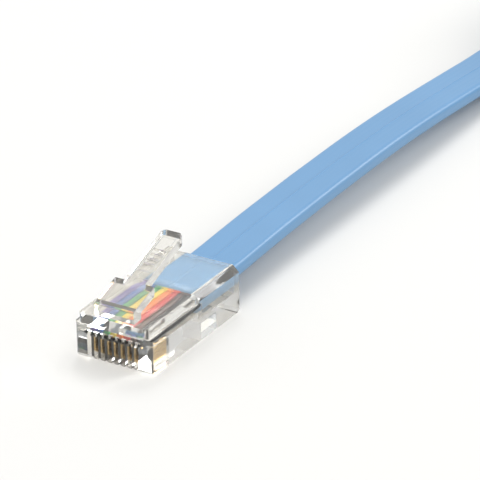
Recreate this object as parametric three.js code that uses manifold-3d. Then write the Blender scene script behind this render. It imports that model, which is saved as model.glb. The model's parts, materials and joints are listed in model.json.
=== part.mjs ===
// A flat rollover console cable: eight wires in a flat jacket, with a clear modular plug
// on each end. The near plug lies on its contact side with its nose towards -X and its
// latch up, and the origin is under its middle, on the surface it lies on.
// Millimetres, +Z up. The unseen length is folded into a hank in line with the plug.
import * as THREE from 'three';
import { mergeVertices } from 'three/addons/utils/BufferGeometryUtils.js';
import Module from 'manifold-3d';

// Clearance between pieces that touch
const FIT = 0.3;
const OVERCUT = 1;
const CURVE_STEPS = 5;

// Plug shell, measured from its nose: length along X, width along Y, height along Z
const PLUG_LENGTH = 21.46;
const PLUG_WIDTH = 11.68;
const PLUG_HEIGHT = 6.6;
const NOSE_RADIUS = 0.7;
const LEDGE_HEIGHT = 5.17;
const LEDGE_LENGTH = 11.7;
const LEDGE_WIDTH = 0.6;
const SHOULDER_CHAMFER = 0.9;
const NOSE_CHAMFER = 0.8;
const TAIL_CHAMFER = 0.4;

// Wires, contacts and the slots that hold them
const WIRE_COLOURS = [
  0x6b5fa8, 0x2f5fae, 0x2f8f4e, 0xd8c23a, 0xd9772b, 0xc23b35, 0x6f4630, 0x23242a,
];
const PITCH = 1.02;
const WIRE_DIAMETER = 0.92;
const WIRE_HEIGHT = 4;
const WIRE_FRONT = 1.35;
const WIRE_FAN = 3.5;
const WIRE_CLEARANCE = 0.12;
const CONTACT_THICKNESS = 0.35;
const CONTACT_FRONT = 0.8;
const CONTACT_LENGTH = 4.4;
const CONTACT_BOTTOM = 0.7;
const CONTACT_NOSE_RADIUS = 0.9;
const SLOT_CLEARANCE = 0.135;
const SLOT_HEIGHT = 3.2;
const GROOVE_HEIGHT = 3.9;
const GROOVE_DEPTH = 0.7;

// Latch: its root stands on the nose, its lever slopes up and back over the shell
const LATCH_WIDTH = 6;
const LEVER_WIDTH = 3.24;
const LATCH_THICKNESS = 1.3;
const ROOT_FRONT = 0.5;
const ROOT_LENGTH = 1.8;
const ROOT_HEIGHT = 1.7;
const SHOULDER_POINT = [5.57, 9.8];
const TIP_POINT = [14.95, 13.07];
const TIP_RADIUS = 0.7;
const GRIP_START = 2.2;
const GRIP_END = 1.1;
const GRIP_RIM = 0.55;
const GRIP_DEPTH = 0.35;

// Flat cable
const CABLE_WIDTH = 7.6;
const CABLE_THICKNESS = 2.2;
const CABLE_CORNER = 0.8;
const CABLE_HEIGHT = 3.9;
const CABLE_WIRE_PITCH = 0.88;
const JACKET_END = 13.4;
const CAVITY_FRONT = 12.4;
const RELIEF_FRONT = 13.8;
const RELIEF_LENGTH = 3.8;
const RELIEF_WIDTH = 6.2;
const RELIEF_DEPTH = 1.3;
const FLOOR_GAP = 0.05;

// Hank: turns on edge in two layers round two end loops, drawn in at the middle by a tie
const HANK_START = 130;
const HANK_RUN = 90.5;
const HANK_SIDE = -20;
const TURN_RADIUS = 22;
const WAIST = 13.6;
const LAYER_GAP = 0.15;
const TIE_WIDTH = 10;
const TIE_THICKNESS = 0.9;
const TIE_LAP = 12;
const SIDE_STEPS = 14;

// Where the cable turns from lying flat to standing on edge, and back again
const TWIST_IN = [98, 119];
const TWIST_OUT = [233, 263];
const FAR_REAR = 268.5;

const LATCH_FRONT_TOP = PLUG_HEIGHT + ROOT_HEIGHT;
const LATCH_SLOPE = (SHOULDER_POINT[1] - LATCH_FRONT_TOP) / (SHOULDER_POINT[0] - ROOT_FRONT);
const HALF_CABLE = CABLE_THICKNESS / 2;
const HANK_END = HANK_START + HANK_RUN;
const HANK_OUTER = TURN_RADIUS + HALF_CABLE;
const HANK_HEIGHT = 2 * CABLE_WIDTH + LAYER_GAP + TIE_THICKNESS;
const HANK_TAB = Math.sqrt(HANK_OUTER ** 2 - (HANK_OUTER - CABLE_THICKNESS - FIT) ** 2);
const RUN_SIDE = HANK_SIDE + TURN_RADIUS;
const FAR_NOSE = FAR_REAR + PLUG_LENGTH;
const SLEEVE_INSIDE = PLUG_LENGTH - JACKET_END;
const EXIT_LIFT = CABLE_HEIGHT - HALF_CABLE - FLOOR_GAP;
const LAYER_LIFT = CABLE_WIDTH + LAYER_GAP;

// The cable's route where it isn't in the hank: along X, across, and the lift over lying
const LEAD_ROUTE = [
  [JACKET_END - PLUG_LENGTH / 2, 0, EXIT_LIFT],
  [6, 0, EXIT_LIFT],
  [PLUG_LENGTH / 2, 0, EXIT_LIFT],
  [16, 0.1, 2.8],
  [22, 0.25, 2.95],
  [28, 0.35, 3.1],
  [34, 0.35, 3.25],
  [40, 0.35, 3.4],
  [46, 0.35, 3.45],
  [52, 0.35, 3.5],
  [58, 0.35, 3.45],
  [64, 0.35, 3.3],
  [70, 0.35, 3.05],
  [78, 0.4, 2.55],
  [86, 0.45, 2],
  [94, 0.6, 1.4],
  [101, 0.9, 0.85],
  [108, 1.3, 0.4],
  [115, 1.75, 0.1],
  [HANK_START - HANK_TAB - FIT, RUN_SIDE, 0],
];
const TAIL_ROUTE = [
  [HANK_END + HANK_TAB + FIT, RUN_SIDE, LAYER_LIFT],
  [236, 2, 7.65],
  [241, 1.8, 7.2],
  [246, 1.5, 6.4],
  [251, 1.1, 5.4],
  [256, 0.6, 4.4],
  [261, 0.2, 3.4],
  [265, 0, 2.9],
  [FAR_REAR, 0, EXIT_LIFT],
  [FAR_REAR + SLEEVE_INSIDE, 0, EXIT_LIFT],
];
const STEP_LENGTH = 5;

const wasm = await Module();
wasm.setup();

const clear = { color: 0xdfe3e2, roughness: 0.12, metalness: 0 };
const gold = { color: 0xc9a35a, roughness: 0.25, metalness: 1 };
const jacket = { color: 0x80aad4, roughness: 0.5, metalness: 0 };
const strap = { color: 0x2a2b2e, roughness: 0.9, metalness: 0 };

// A geometry's closed mesh as a solid that can be joined and cut
function solid(geometry) {
  const bare = geometry.clone();
  bare.deleteAttribute('normal');
  bare.deleteAttribute('uv');
  const merged = mergeVertices(bare);
  const vertProperties = new Float32Array(merged.attributes.position.array);
  const triVerts = new Uint32Array(merged.index.array);
  return new wasm.Manifold(new wasm.Mesh({ numProp: 3, vertProperties, triVerts }));
}

function geometryOf(body) {
  const mesh = body.getMesh();
  const geometry = new THREE.BufferGeometry();
  geometry.setAttribute('position', new THREE.BufferAttribute(mesh.vertProperties, 3));
  geometry.setIndex(new THREE.BufferAttribute(mesh.triVerts, 1));
  return geometry;
}

function piece(name, geometry, look) {
  const mesh = new THREE.Mesh(geometry, new THREE.MeshStandardMaterial(look));
  mesh.name = name;
  return mesh;
}

function block(low, high) {
  const size = high.map((value, i) => value - low[i]);
  const middle = high.map((value, i) => (value + low[i]) / 2);
  return solid(new THREE.BoxGeometry(...size).translate(...middle));
}

function outline(points) {
  return new THREE.Shape(points.map(([a, b]) => new THREE.Vector2(a, b)));
}

// An outline in X and Z, drawn out along Y between two sides
function acrossY(points, low, high) {
  const geometry = new THREE.ExtrudeGeometry(outline(points), {
    depth: high - low,
    bevelEnabled: false,
  });
  return solid(geometry.rotateX(Math.PI / 2).translate(0, high, 0));
}

// An outline in Y and Z, drawn out along X
function alongX(shape, low, high) {
  const geometry = new THREE.ExtrudeGeometry(shape, {
    depth: high - low,
    bevelEnabled: false,
    curveSegments: CURVE_STEPS,
  });
  return geometry.rotateX(Math.PI / 2).rotateZ(Math.PI / 2).translate(low, 0, 0);
}

// An outline in X and Y, drawn up along Z
function upZ(shape, low, high) {
  const geometry = new THREE.ExtrudeGeometry(shape, {
    depth: high - low,
    bevelEnabled: false,
    curveSegments: CURVE_STEPS,
  });
  return solid(geometry.translate(0, 0, low));
}

// A rectangle from the nose backwards, with its two nose corners rounded
function nosePlan(halfWidth, length) {
  const shape = new THREE.Shape();
  shape.moveTo(length, -halfWidth);
  shape.lineTo(length, halfWidth);
  shape.lineTo(NOSE_RADIUS, halfWidth);
  shape.absarc(NOSE_RADIUS, halfWidth - NOSE_RADIUS, NOSE_RADIUS, Math.PI / 2, Math.PI);
  shape.absarc(NOSE_RADIUS, NOSE_RADIUS - halfWidth, NOSE_RADIUS, Math.PI, Math.PI * 1.5);
  return shape;
}

function wireSide(index, pitch) {
  return ((WIRE_COLOURS.length - 1) / 2 - index) * pitch;
}

// The top of the latch's root and lever at a distance from the nose
function latchTop(x) {
  return LATCH_FRONT_TOP + (x - ROOT_FRONT) * LATCH_SLOPE;
}

function shellBody() {
  const half = PLUG_WIDTH / 2;
  const deck = upZ(nosePlan(half, LEDGE_LENGTH + OVERCUT), 0, LEDGE_HEIGHT);
  const nose = upZ(nosePlan(half - LEDGE_WIDTH, LEDGE_LENGTH), 0, PLUG_HEIGHT);
  const rear = alongX(
    outline([
      [-half, 0],
      [half, 0],
      [half, PLUG_HEIGHT - SHOULDER_CHAMFER],
      [half - SHOULDER_CHAMFER, PLUG_HEIGHT],
      [SHOULDER_CHAMFER - half, PLUG_HEIGHT],
      [-half, PLUG_HEIGHT - SHOULDER_CHAMFER],
    ]),
    LEDGE_LENGTH,
    PLUG_LENGTH,
  );
  const rootBack = ROOT_FRONT + ROOT_LENGTH;
  const root = acrossY(
    [
      [ROOT_FRONT, LEDGE_HEIGHT],
      [rootBack, LEDGE_HEIGHT],
      [rootBack, latchTop(rootBack)],
      [ROOT_FRONT, LATCH_FRONT_TOP],
    ],
    -LATCH_WIDTH / 2,
    LATCH_WIDTH / 2,
  );
  return deck.add(nose).add(solid(rear)).add(root);
}

// Chamfers under the nose and round the cable's way in
function shellChamfers() {
  const half = PLUG_WIDTH / 2 + OVERCUT;
  const under = acrossY(
    [
      [-OVERCUT, -OVERCUT],
      [NOSE_CHAMFER + OVERCUT, -OVERCUT],
      [-OVERCUT, NOSE_CHAMFER + OVERCUT],
    ],
    -half,
    half,
  );
  const behind = acrossY(
    [
      [PLUG_LENGTH + OVERCUT, -OVERCUT],
      [PLUG_LENGTH + OVERCUT, TAIL_CHAMFER + OVERCUT],
      [PLUG_LENGTH - TAIL_CHAMFER - OVERCUT, -OVERCUT],
    ],
    -half,
    half,
  );
  return under.add(behind);
}

// The hollow that holds the jacket and the wires
function shellHollow() {
  const wireHalf = WIRE_DIAMETER / 2 + WIRE_CLEARANCE;
  const wiresHalf = (WIRE_COLOURS.length / 2) * PITCH + WIRE_CLEARANCE;
  const cableHalf = CABLE_WIDTH / 2 + FIT;
  const chamber = block(
    [WIRE_FRONT - FIT, -wiresHalf, WIRE_HEIGHT - wireHalf],
    [CAVITY_FRONT + OVERCUT, wiresHalf, WIRE_HEIGHT + wireHalf],
  );
  const sleeve = block(
    [CAVITY_FRONT, -cableHalf, CABLE_HEIGHT - HALF_CABLE - FIT],
    [PLUG_LENGTH + OVERCUT, cableHalf, CABLE_HEIGHT + HALF_CABLE + FIT],
  );
  return chamber.add(sleeve);
}

function shellSlots() {
  const half = CONTACT_THICKNESS / 2 + SLOT_CLEARANCE;
  const back = CONTACT_FRONT + CONTACT_LENGTH + FIT;
  let slots = block(
    [RELIEF_FRONT, -RELIEF_WIDTH / 2, -OVERCUT],
    [RELIEF_FRONT + RELIEF_LENGTH, RELIEF_WIDTH / 2, RELIEF_DEPTH],
  );
  WIRE_COLOURS.forEach((colour, index) => {
    const side = wireSide(index, PITCH);
    const slot = block([-OVERCUT, side - half, -OVERCUT], [back, side + half, SLOT_HEIGHT]);
    const groove = block(
      [-OVERCUT, side - half, -OVERCUT],
      [GROOVE_DEPTH, side + half, GROOVE_HEIGHT],
    );
    slots = slots.add(slot).add(groove);
  });
  return slots;
}

function shell() {
  const cuts = shellChamfers().add(shellHollow()).add(shellSlots());
  return geometryOf(shellBody().subtract(cuts));
}

// The lever, hinged just behind its root: a wide part with two shoulders, then the grip
function latch() {
  const start = ROOT_FRONT + ROOT_LENGTH + FIT;
  const [shoulderX, shoulderZ] = SHOULDER_POINT;
  const [tipX, tipZ] = TIP_POINT;
  const slope = Math.atan2(tipZ - shoulderZ, tipX - shoulderX);
  const drop = LATCH_THICKNESS / Math.cos(slope);
  const wide = acrossY(
    [
      [start, latchTop(start) - drop],
      [shoulderX, shoulderZ - drop],
      [shoulderX, shoulderZ],
      [start, latchTop(start)],
    ],
    -LATCH_WIDTH / 2,
    LATCH_WIDTH / 2,
  );
  const lever = acrossY(
    [
      [start, latchTop(start) - drop],
      [shoulderX, shoulderZ - drop],
      [tipX, tipZ - drop],
      [tipX, tipZ],
      [shoulderX, shoulderZ],
      [start, latchTop(start)],
    ],
    -LEVER_WIDTH / 2,
    LEVER_WIDTH / 2,
  );
  const long = Math.hypot(tipX - shoulderX, tipZ - shoulderZ);
  const plan = new THREE.Shape();
  const edge = LEVER_WIDTH / 2;
  plan.moveTo(-start, -LATCH_WIDTH);
  plan.lineTo(long - TIP_RADIUS, -LATCH_WIDTH);
  plan.lineTo(long - TIP_RADIUS, -edge);
  plan.absarc(long - TIP_RADIUS, TIP_RADIUS - edge, TIP_RADIUS, -Math.PI / 2, 0);
  plan.absarc(long - TIP_RADIUS, edge - TIP_RADIUS, TIP_RADIUS, 0, Math.PI / 2);
  plan.lineTo(long - TIP_RADIUS, LATCH_WIDTH);
  plan.lineTo(-start, LATCH_WIDTH);
  const grip = block(
    [GRIP_START, GRIP_RIM - edge, -GRIP_DEPTH],
    [long - GRIP_END, edge - GRIP_RIM, OVERCUT],
  );
  const tilt = (body) => body.rotate([0, -THREE.MathUtils.radToDeg(slope), 0])
    .translate([shoulderX, 0, shoulderZ]);
  const rounded = tilt(upZ(plan, -TIP_POINT[1], TIP_POINT[1]));
  return geometryOf(wide.add(lever).intersect(rounded).subtract(tilt(grip)));
}

// A blade with a round nose where a socket's spring slides on to it
function contact(side) {
  const top = SLOT_HEIGHT - OVERCUT / 10;
  const shape = new THREE.Shape();
  const back = CONTACT_FRONT + CONTACT_LENGTH;
  const radius = CONTACT_NOSE_RADIUS;
  shape.moveTo(back, CONTACT_BOTTOM);
  shape.lineTo(back, top);
  shape.lineTo(CONTACT_FRONT, top);
  shape.lineTo(CONTACT_FRONT, CONTACT_BOTTOM + radius);
  shape.absarc(CONTACT_FRONT + radius, CONTACT_BOTTOM + radius, radius, Math.PI, Math.PI * 1.5);
  const geometry = new THREE.ExtrudeGeometry(shape, {
    depth: CONTACT_THICKNESS,
    bevelEnabled: false,
    curveSegments: CURVE_STEPS,
  });
  return geometry.rotateX(Math.PI / 2).translate(0, side + CONTACT_THICKNESS / 2, 0);
}

// One wire, straight in the comb and fanned in towards its place in the jacket
function wire(index) {
  const comb = wireSide(index, PITCH);
  const jacketSide = wireSide(index, CABLE_WIRE_PITCH);
  const end = JACKET_END - FIT;
  const path = new THREE.CatmullRomCurve3([
    new THREE.Vector3(WIRE_FRONT, comb, WIRE_HEIGHT),
    new THREE.Vector3((WIRE_FRONT + end - WIRE_FAN) / 2, comb, WIRE_HEIGHT),
    new THREE.Vector3(end - WIRE_FAN, comb, WIRE_HEIGHT),
    new THREE.Vector3(end - WIRE_FAN / 2, (comb + jacketSide) / 2, (WIRE_HEIGHT + CABLE_HEIGHT) / 2),
    new THREE.Vector3(end, jacketSide, CABLE_HEIGHT),
  ]);
  const section = new THREE.Shape();
  section.absarc(0, 0, WIRE_DIAMETER / 2, 0, Math.PI * 2);
  return new THREE.ExtrudeGeometry(section, {
    steps: 8,
    curveSegments: 4,
    extrudePath: path,
    bevelEnabled: false,
  });
}

// All pieces of one plug, with the nose at x = 0 and the cable towards +X
function plug(prefix, colours) {
  const group = new THREE.Group();
  group.add(piece(`${prefix}_shell`, shell(), clear));
  group.add(piece(`${prefix}_latch`, latch(), clear));
  colours.forEach((color, index) => {
    const look = { color, roughness: 0.45, metalness: 0 };
    group.add(piece(`${prefix}_contact_${index + 1}`, contact(wireSide(index, PITCH)), gold));
    group.add(piece(`${prefix}_wire_${index + 1}`, wire(index), look));
  });
  return group;
}

// The cable's cross-section: thickness first, then width, with its corners cut round
function cableSection() {
  const x = HALF_CABLE - CABLE_CORNER;
  const y = CABLE_WIDTH / 2 - CABLE_CORNER;
  const points = [];
  [[x, y, 0], [-x, y, 90], [-x, -y, 180], [x, -y, 270]].forEach(([cx, cy, start]) => {
    [0, 45, 90].forEach((turn) => {
      const angle = THREE.MathUtils.degToRad(start + turn);
      points.push([cx + CABLE_CORNER * Math.cos(angle), cy + CABLE_CORNER * Math.sin(angle)]);
    });
  });
  return outline(points);
}

// How far the cable has turned on to its edge at a place along X, as an angle
function twistAt(x) {
  const into = THREE.MathUtils.smoothstep(x, ...TWIST_IN);
  const out = THREE.MathUtils.smoothstep(x, ...TWIST_OUT);
  return (Math.PI / 2) * (into - out);
}

// The cable's middle above the floor when it lies there, turned as it is at x
function lyingHeight(x) {
  const turn = twistAt(x);
  const half = HALF_CABLE * Math.cos(turn) + (CABLE_WIDTH / 2) * Math.sin(turn);
  return FLOOR_GAP + half;
}

// A curve that tells the extrusion how the flat section stands at each step
class FlatPath extends THREE.CatmullRomCurve3 {
  computeFrenetFrames(segments) {
    const tangents = [];
    const normals = [];
    const binormals = [];
    for (let i = 0; i <= segments; i += 1) {
      const tangent = this.getTangentAt(i / segments).normalize();
      const turn = twistAt(this.getPointAt(i / segments).x);
      const side = new THREE.Vector3(tangent.y, -tangent.x, 0).normalize();
      const up = new THREE.Vector3().crossVectors(side, tangent);
      const normal = up.clone().multiplyScalar(Math.cos(turn));
      normal.addScaledVector(side, Math.sin(turn));
      tangents.push(tangent);
      normals.push(normal);
      binormals.push(new THREE.Vector3().crossVectors(tangent, normal));
    }
    return { tangents, normals, binormals };
  }
}

function cable(name, route) {
  const path = new FlatPath(route.map(
    ([x, y, lift]) => new THREE.Vector3(x, y, lift + lyingHeight(x)),
  ));
  const geometry = new THREE.ExtrudeGeometry(cableSection(), {
    steps: Math.round(path.getLength() / STEP_LENGTH),
    extrudePath: path,
    bevelEnabled: false,
  });
  return piece(name, geometry, jacket);
}

// Half the hank's outer width at a share of the way along its straight run
function hankHalf(share) {
  return HANK_OUTER - (WAIST * (1 - Math.cos(2 * Math.PI * share))) / 2;
}

// The hank's outer shape, with the stretches where the cable comes in and goes out
function hank() {
  const plan = new THREE.Shape();
  plan.moveTo(HANK_START, HANK_SIDE - hankHalf(0));
  for (let i = 1; i <= SIDE_STEPS; i += 1) {
    const share = i / SIDE_STEPS;
    plan.lineTo(HANK_START + HANK_RUN * share, HANK_SIDE - hankHalf(share));
  }
  plan.absarc(HANK_END, HANK_SIDE, HANK_OUTER, -Math.PI / 2, Math.PI / 2);
  for (let i = 1; i <= SIDE_STEPS; i += 1) {
    const share = i / SIDE_STEPS;
    plan.lineTo(HANK_END - HANK_RUN * share, HANK_SIDE + hankHalf(share));
  }
  plan.absarc(HANK_START, HANK_SIDE, HANK_OUTER, Math.PI / 2, Math.PI * 1.5);
  const turns = upZ(plan, FLOOR_GAP, FLOOR_GAP + HANK_HEIGHT);
  const low = RUN_SIDE - HALF_CABLE;
  const high = RUN_SIDE + HALF_CABLE;
  const wayIn = block(
    [HANK_START - HANK_TAB, low, FLOOR_GAP],
    [HANK_START, high, FLOOR_GAP + CABLE_WIDTH],
  );
  const wayOut = block(
    [HANK_END, low, FLOOR_GAP + LAYER_LIFT],
    [HANK_END + HANK_TAB, high, FLOOR_GAP + LAYER_LIFT + CABLE_WIDTH],
  );
  const middle = HANK_START + HANK_RUN / 2;
  const reach = TIE_WIDTH / 2 + FIT;
  const groove = block(
    [middle - reach, HANK_SIDE - HANK_OUTER, -OVERCUT],
    [middle + reach, HANK_SIDE + HANK_OUTER, FLOOR_GAP + TIE_THICKNESS + FIT],
  );
  return piece('hank', geometryOf(turns.add(wayIn).add(wayOut).subtract(groove)), jacket);
}

// A strap round the hank's waist, lapped over itself on top
function tie() {
  const inner = hankHalf(0.5 - TIE_WIDTH / 2 / HANK_RUN) + FIT;
  const outer = inner + TIE_THICKNESS;
  const low = FLOOR_GAP + TIE_THICKNESS;
  const high = FLOOR_GAP + HANK_HEIGHT + FIT;
  const front = HANK_START + (HANK_RUN - TIE_WIDTH) / 2;
  const back = front + TIE_WIDTH;
  const band = alongX(
    outline([
      [-inner, FLOOR_GAP],
      [inner, FLOOR_GAP],
      [outer, low],
      [outer, high],
      [inner, high + TIE_THICKNESS],
      [-inner, high + TIE_THICKNESS],
      [-outer, high],
      [-outer, low],
    ]),
    front,
    back,
  );
  const inside = block([front - OVERCUT, -inner, low], [back + OVERCUT, inner, high]);
  const lap = block([front, -TIE_LAP / 2, high], [back, TIE_LAP / 2, high + 2 * TIE_THICKNESS]);
  const body = solid(band).subtract(inside).add(lap);
  return piece('tie', geometryOf(body.translate([0, HANK_SIDE, 0])), strap);
}

const part = new THREE.Group();

const near = plug('near', WIRE_COLOURS);
near.position.set(-PLUG_LENGTH / 2, 0, 0);
part.add(near);

// The far plug is turned round with its latch up too, so its wires come in reverse order
const far = plug('far', WIRE_COLOURS.toReversed());
far.rotation.z = Math.PI;
far.position.set(FAR_NOSE, 0, 0);
part.add(far);

part.add(cable('cable_lead', LEAD_ROUTE));
part.add(cable('cable_tail', TAIL_ROUTE));
part.add(hank());
part.add(tie());

export default part;
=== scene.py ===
# A flat rollover console cable: two clear modular plugs, a light-blue flat cable, and the
# spare length folded into a hank and tied with a strap. Metres, +Z up, the CAD frame's axes.
import json
import math

import bmesh
import bpy
import numpy as np
from mathutils import Matrix, Vector

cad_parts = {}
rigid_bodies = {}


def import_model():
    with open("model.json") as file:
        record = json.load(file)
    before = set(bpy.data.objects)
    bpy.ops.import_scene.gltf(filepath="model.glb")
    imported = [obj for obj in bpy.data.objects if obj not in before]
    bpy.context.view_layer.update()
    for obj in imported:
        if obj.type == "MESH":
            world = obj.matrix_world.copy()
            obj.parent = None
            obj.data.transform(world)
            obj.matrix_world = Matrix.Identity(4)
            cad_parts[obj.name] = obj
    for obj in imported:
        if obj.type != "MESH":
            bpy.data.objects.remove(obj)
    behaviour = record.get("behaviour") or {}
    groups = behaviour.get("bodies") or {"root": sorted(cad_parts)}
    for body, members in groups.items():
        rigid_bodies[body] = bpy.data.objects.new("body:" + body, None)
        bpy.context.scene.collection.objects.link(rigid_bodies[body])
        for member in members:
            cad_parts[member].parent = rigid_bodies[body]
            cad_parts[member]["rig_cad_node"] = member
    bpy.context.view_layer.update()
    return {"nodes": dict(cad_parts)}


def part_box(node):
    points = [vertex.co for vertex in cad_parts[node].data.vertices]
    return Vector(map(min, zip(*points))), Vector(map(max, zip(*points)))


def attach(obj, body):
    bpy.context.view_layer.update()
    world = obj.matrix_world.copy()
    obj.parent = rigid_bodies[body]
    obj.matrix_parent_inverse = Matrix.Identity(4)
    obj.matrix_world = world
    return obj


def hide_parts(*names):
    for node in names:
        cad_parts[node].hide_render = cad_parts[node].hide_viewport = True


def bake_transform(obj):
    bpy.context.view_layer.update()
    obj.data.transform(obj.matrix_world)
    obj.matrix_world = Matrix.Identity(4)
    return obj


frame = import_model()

bl_info = {
    "name": "Flat console cable",
    "version": (1, 0, 0),
    "blender": (4, 5, 0),
    "location": "3D View > Sidebar > Console cable",
    "description": "Builds a flat console cable with two clear modular plugs",
    "category": "Add Mesh",
}

MM = 0.001
FIT = 0.3 * MM

# Plug sizes, from the frame and in the CAD source's terms: measured from the nose
SHELL_LOW, SHELL_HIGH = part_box("near_shell")
PLUG_LENGTH = SHELL_HIGH.x - SHELL_LOW.x
PLUG_WIDTH = SHELL_HIGH.y - SHELL_LOW.y
PLUG_HEIGHT = 6.6 * MM
LEDGE_HEIGHT = 5.17 * MM
LEDGE_LENGTH = 11.7 * MM
COMB_TOP = 4.1 * MM
COMB_HALF = 4 * MM
FAR_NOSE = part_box("far_shell")[1].x
WIRE_COUNT = 8
PITCH = 1.02 * MM
WIRE_RADIUS = 0.46 * MM
WIRE_HEIGHT = 4 * MM
WIRE_FRONT = 1.35 * MM
WIRE_FAN = 3.5 * MM
JACKET_END = 13.4 * MM
CABLE_WIRE_PITCH = 0.88 * MM
CONTACT_THICKNESS = 0.35 * MM
CONTACT_FRONT = 0.8 * MM
CONTACT_LENGTH = 4.4 * MM
CONTACT_BOTTOM = 0.7 * MM
CONTACT_TOP = 3.1 * MM
CONTACT_NOSE_RADIUS = 0.9 * MM
CONTACT_HEEL = 0.4 * MM
TEETH = (1.1 * MM, 2.7 * MM)
TOOTH_FOOT = 0.45 * MM
TOOTH_TIP = 0.1 * MM
TOOTH_BITE = 0.1 * MM

# Latch: the root stands on the nose and the lever slopes up and back
ROOT_FRONT = 0.5 * MM
ROOT_BACK = 2.3 * MM
ROOT_TOP = 8.3 * MM
SHOULDER = (5.57 * MM, 9.8 * MM)
TIP = (14.95 * MM, 13.07 * MM)
LATCH_WIDTH = 6 * MM
LEVER_WIDTH = 3.24 * MM
LATCH_THICKNESS = 1.3 * MM
TIP_RADIUS = 0.7 * MM
SINK = 0.05 * MM
BEND_CUTS = (0, 0.25, 0.5, 0.75, 1)

# The lever's recessed grip panel, measured along the lever from its shoulder, and its ribs
GRIP_START = 2.2 * MM
GRIP_END = 1.1 * MM
GRIP_RIM = 0.55 * MM
GRIP_DEPTH = 0.35 * MM
RIB_COUNT = 4
RIB_START = 3.6 * MM
RIB_PITCH = 0.9 * MM
RIB_HALF = 0.12 * MM
RIB_GAP = 0.25 * MM
RIB_BOTTOM = -0.4 * MM
RIB_TOP = -0.15 * MM

# Flat cable, its hank and its strap
CABLE_WIDTH = 7.6 * MM
CABLE_THICKNESS = 2.2 * MM
CABLE_CORNER = 0.8 * MM
CABLE_HEIGHT = 3.9 * MM
LOBE_DEPTH = 0.02 * MM
SECTION_COLUMNS = 26
CABLE_RIB_HEIGHT = 0.13 * MM
CABLE_RIB_WIDTH = 0.12 * MM
CABLE_RIB_STEP = 0.06 * MM
FLOOR_GAP = 0.05 * MM
HANK_START = 130 * MM
HANK_RUN = 90.5 * MM
HANK_END = HANK_START + HANK_RUN
HANK_SIDE = -20 * MM
TURN_RADIUS = 22 * MM
TURN_PITCH = 2.7 * MM
INNER_RADIUS = 14.6 * MM
WAIST_OUTER = 8.4 * MM
WAIST_INNER = 1.35 * MM
LAYER_LIFT = 7.75 * MM
HANK_TURNS = 5
RISE = (2.3, 2.75)
RISE_DIP = 0.5 * MM
RISE_DIP_TURNS = 0.45
STRAP_THICKNESS = 0.9 * MM
STRAP_LAP = 12 * MM
STRAP_CORNER = 2 * MM
STRAP_BEVEL = 0.2 * MM
STRAP_RAMP = 1.5 * MM
STRAP_RISE = 2 * MM
STRAP_REACH = (7 * MM, 26 * MM)
TWIST_IN = (98 * MM, 119 * MM)
TWIST_OUT = (233 * MM, 263 * MM)
RUN_SIDE = HANK_SIDE + TURN_RADIUS
HALF_CABLE = CABLE_THICKNESS / 2
HANK_OUTER = TURN_RADIUS + HALF_CABLE
HANK_TAB = math.sqrt(HANK_OUTER**2 - (HANK_OUTER - CABLE_THICKNESS - FIT) ** 2)
EXIT_LIFT = CABLE_HEIGHT - HALF_CABLE - FLOOR_GAP
FAR_REAR = FAR_NOSE - PLUG_LENGTH

# A turn of the hank in shares of it: a run out, the far loop, a run back, the near loop
RUN_SHARE = 0.3
LOOP_SHARE = 0.2
RUN_BACK = RUN_SHARE + LOOP_SHARE
NEAR_LOOP = RUN_BACK + RUN_SHARE
LAST_TURN = HANK_TURNS + RUN_SHARE
STEPS_PER_TURN = 160
STEPS_PER_KNOT = 8

# The route outside the hank, in millimetres: along X, across, and the lift over lying flat
LEAD_ROUTE = [
    ((JACKET_END - PLUG_LENGTH / 2) / MM, 0, EXIT_LIFT / MM),
    (6, 0, EXIT_LIFT / MM),
    (PLUG_LENGTH / 2 / MM, 0, EXIT_LIFT / MM),
    (16, 0.1, 2.8),
    (22, 0.25, 2.95),
    (28, 0.35, 3.1),
    (34, 0.35, 3.25),
    (40, 0.35, 3.4),
    (46, 0.35, 3.45),
    (52, 0.35, 3.5),
    (58, 0.35, 3.45),
    (64, 0.35, 3.3),
    (70, 0.35, 3.05),
    (78, 0.4, 2.55),
    (86, 0.45, 2),
    (94, 0.6, 1.4),
    (101, 0.9, 0.85),
    (108, 1.3, 0.4),
    (115, 1.75, 0.1),
    ((HANK_START - HANK_TAB) / MM - 0.3, RUN_SIDE / MM, 0),
]
TAIL_ROUTE = [
    ((HANK_END + HANK_TAB) / MM + 0.3, RUN_SIDE / MM, LAYER_LIFT / MM),
    (236, 2, 7.65),
    (241, 1.8, 7.2),
    (246, 1.5, 6.4),
    (251, 1.1, 5.4),
    (256, 0.6, 4.4),
    (261, 0.2, 3.4),
    (265, 0, 2.9),
    (FAR_REAR / MM, 0, EXIT_LIFT / MM),
    ((FAR_REAR + PLUG_LENGTH - JACKET_END) / MM, 0, EXIT_LIFT / MM),
]

INSULATION = (
    ("violet", "#6B5FA8"),
    ("blue", "#2F5FAE"),
    ("green", "#2F8F4E"),
    ("yellow", "#D8C23A"),
    ("orange", "#D9772B"),
    ("red", "#C23B35"),
    ("brown", "#4C322A"),
    ("black", "#23242A"),
)


# Colours and node trees


def linear(text):
    """A hex colour in sRGB as linear red, green, blue and alpha."""
    parts = [int(text[i : i + 2], 16) / 255 for i in (1, 3, 5)]
    turned = [c / 12.92 if c <= 0.04045 else ((c + 0.055) / 1.055) ** 2.4 for c in parts]
    return (*turned, 1.0)


def add_node(tree, kind, settings=(), **links):
    """A new node. settings are its properties and input values, links its inputs' sources."""
    node = tree.nodes.new(kind)
    for name, value in dict(settings).items():
        if name in node.inputs:
            node.inputs[name].default_value = value
        else:
            setattr(node, name, value)
    for name, source in links.items():
        tree.links.new(source, node.inputs[name.replace("_", " ")])
    return node


def new_material(name):
    """An empty material with its output node, and its tree."""
    material = bpy.data.materials.new(name)
    material.use_nodes = True
    material.node_tree.nodes.clear()
    return material, material.node_tree


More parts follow.
